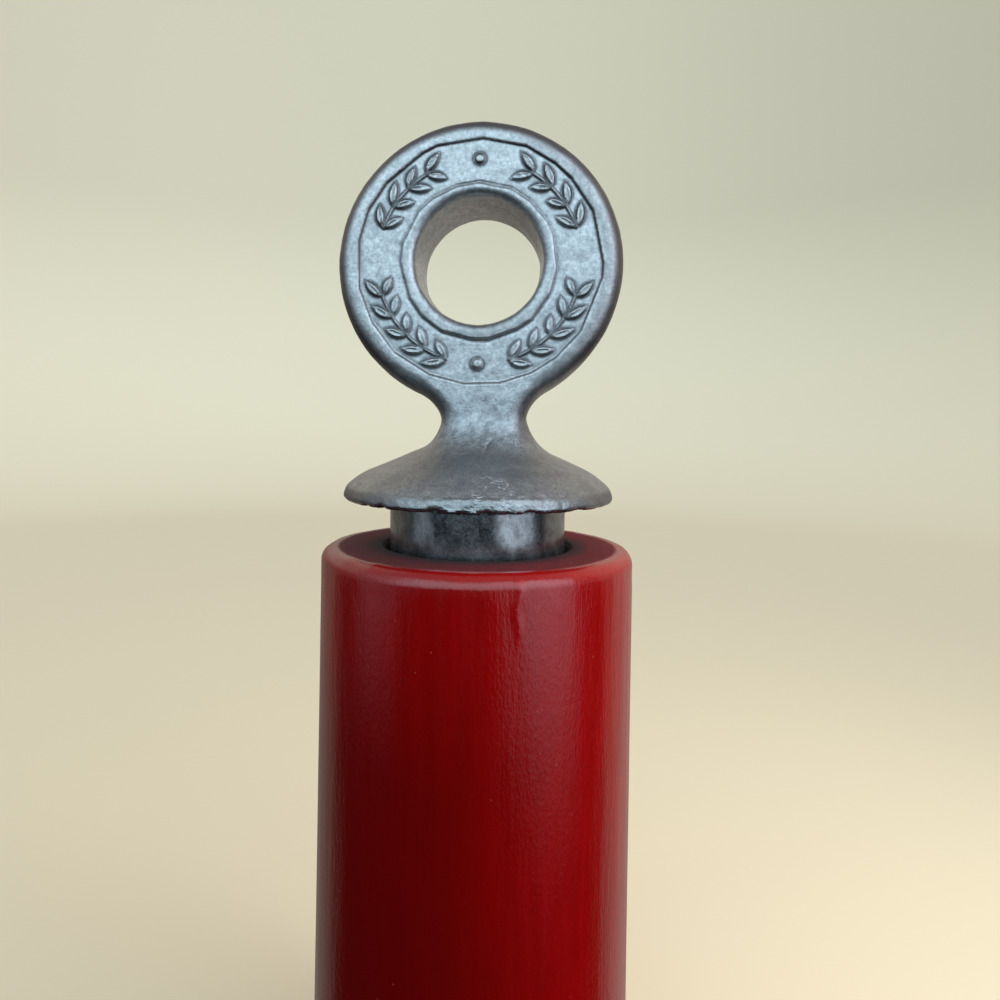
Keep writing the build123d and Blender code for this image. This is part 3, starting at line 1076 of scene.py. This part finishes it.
SURROUND_LEFT = rgb(0.24, 0.215, 0.18)
SURROUND_RIGHT = rgb(0.43, 0.40, 0.35)
SURROUND_HIGH = rgb(0.66, 0.62, 0.53)
FRONT_DARK = rgb(0.008, 0.008, 0.009)
CEILING = rgb(0.34, 0.34, 0.36)
surround = sky.mix(sky.ramp(look_x, -0.75, 0.75), SURROUND_LEFT, SURROUND_RIGHT)
surround = sky.mix(sky.ramp(elevation, 2.0, 18.0), surround, SURROUND_HIGH)
behind_from = sky.ramp(elevation, -12.0, -6.0, 104.0, 84.0)
behind = sky.ramp(sky.size(azimuth), behind_from, sky.plus(behind_from, 18.0))
light = sky.mix(behind, FRONT_DARK, surround)
light = sky.mix(sky.ramp(elevation, 40.0, 65.0), light, CEILING)

# Each panel: left and right azimuth, how far its left edge leans in below, softness of its sides,
# the elevations where it is dark and full, tint and strength
PANELS = [
    (-86.0, -55.0, 0.0, 6.0, -26.0, -6.0, (0.74, 0.86, 1.0), 0.7),
    (29.0, 76.0, 18.0, 7.0, -34.0, 1.0, (0.74, 0.86, 1.0), 2.7),
    (-56.0, 38.0, 0.0, 2.0, -4.0, 2.0, (0.66, 0.88, 1.0), 1.95),
]
PANEL_DIM = 0.68
PANEL_BRIGHT = 1.08
climb = sky.ramp(elevation, -4.0, 24.0)
under_top = sky.ramp(elevation, 58.0, 46.0)
for left, right, lean, soft, dark_below, full_above, tint, strength in PANELS:
    edge = sky.ramp(elevation, -34.0, -14.0, left + lean, left)
    mask = sky.times(window(azimuth, edge, right, soft), sky.ramp(elevation, dark_below, full_above))
    mask = sky.times(mask, under_top)
    dim = rgb(*[channel * strength * PANEL_DIM for channel in tint])
    bright = rgb(*[channel * strength * PANEL_BRIGHT for channel in tint])
    light = sky.mix(mask, light, sky.mix(climb, dim, bright))
background = sky.new("Background", {"Color": light, "Strength": 1.0})
sky.new("OutputWorld", {"Surface": background.outputs[0]})

# A small lamp on the right, above the barrel, gives it its fall of light from the mouth to the foot
KEY_PLACE = (58 * MM, -3 * MM, 70 * MM)
KEY_AIM = (0, 0, 28 * MM)
key = bpy.data.lights.new("key", "AREA")
key.size = 40 * MM
key.energy = 0.038
key.color = (1.0, 0.97, 0.93)
key_lamp = bpy.data.objects.new("key", key)
bpy.context.scene.collection.objects.link(key_lamp)
key_lamp.location = KEY_PLACE
key_lamp.rotation_euler = (Vector(KEY_AIM) - key_lamp.location).to_track_quat("-Z", "Y").to_euler()
key_lamp.visible_camera = False
key_lamp.visible_glossy = False

# Camera at the photograph's place
CAMERA_DISTANCE = 36.27
CAMERA_HEIGHT = 37.82
CAMERA_AZIMUTH = math.radians(4.0)
CAMERA_ROLL = math.radians(0.9)
lens = bpy.data.cameras.new("camera")
lens.lens = 24.95
lens.sensor_width = 36.0
lens.shift_x = 0.021
lens.shift_y = -0.0727
lens.clip_start = 1.0 * MM
lens.clip_end = 5.0
camera = bpy.data.objects.new("camera", lens)
bpy.context.scene.collection.objects.link(camera)
camera_x = CAMERA_DISTANCE * math.sin(CAMERA_AZIMUTH)
camera_y = -CAMERA_DISTANCE * math.cos(CAMERA_AZIMUTH)
camera.location = (camera_x * MM, camera_y * MM, CAMERA_HEIGHT * MM)
level_view = Euler((math.pi / 2, 0.0, CAMERA_AZIMUTH), "XYZ").to_matrix()
roll = Euler((0.0, 0.0, CAMERA_ROLL), "XYZ").to_matrix()
camera.rotation_euler = (level_view @ roll).to_euler("XYZ")
bpy.context.scene.camera = camera
bpy.context.scene.view_settings.view_transform = "Standard"

bpy.context.view_layer.update()
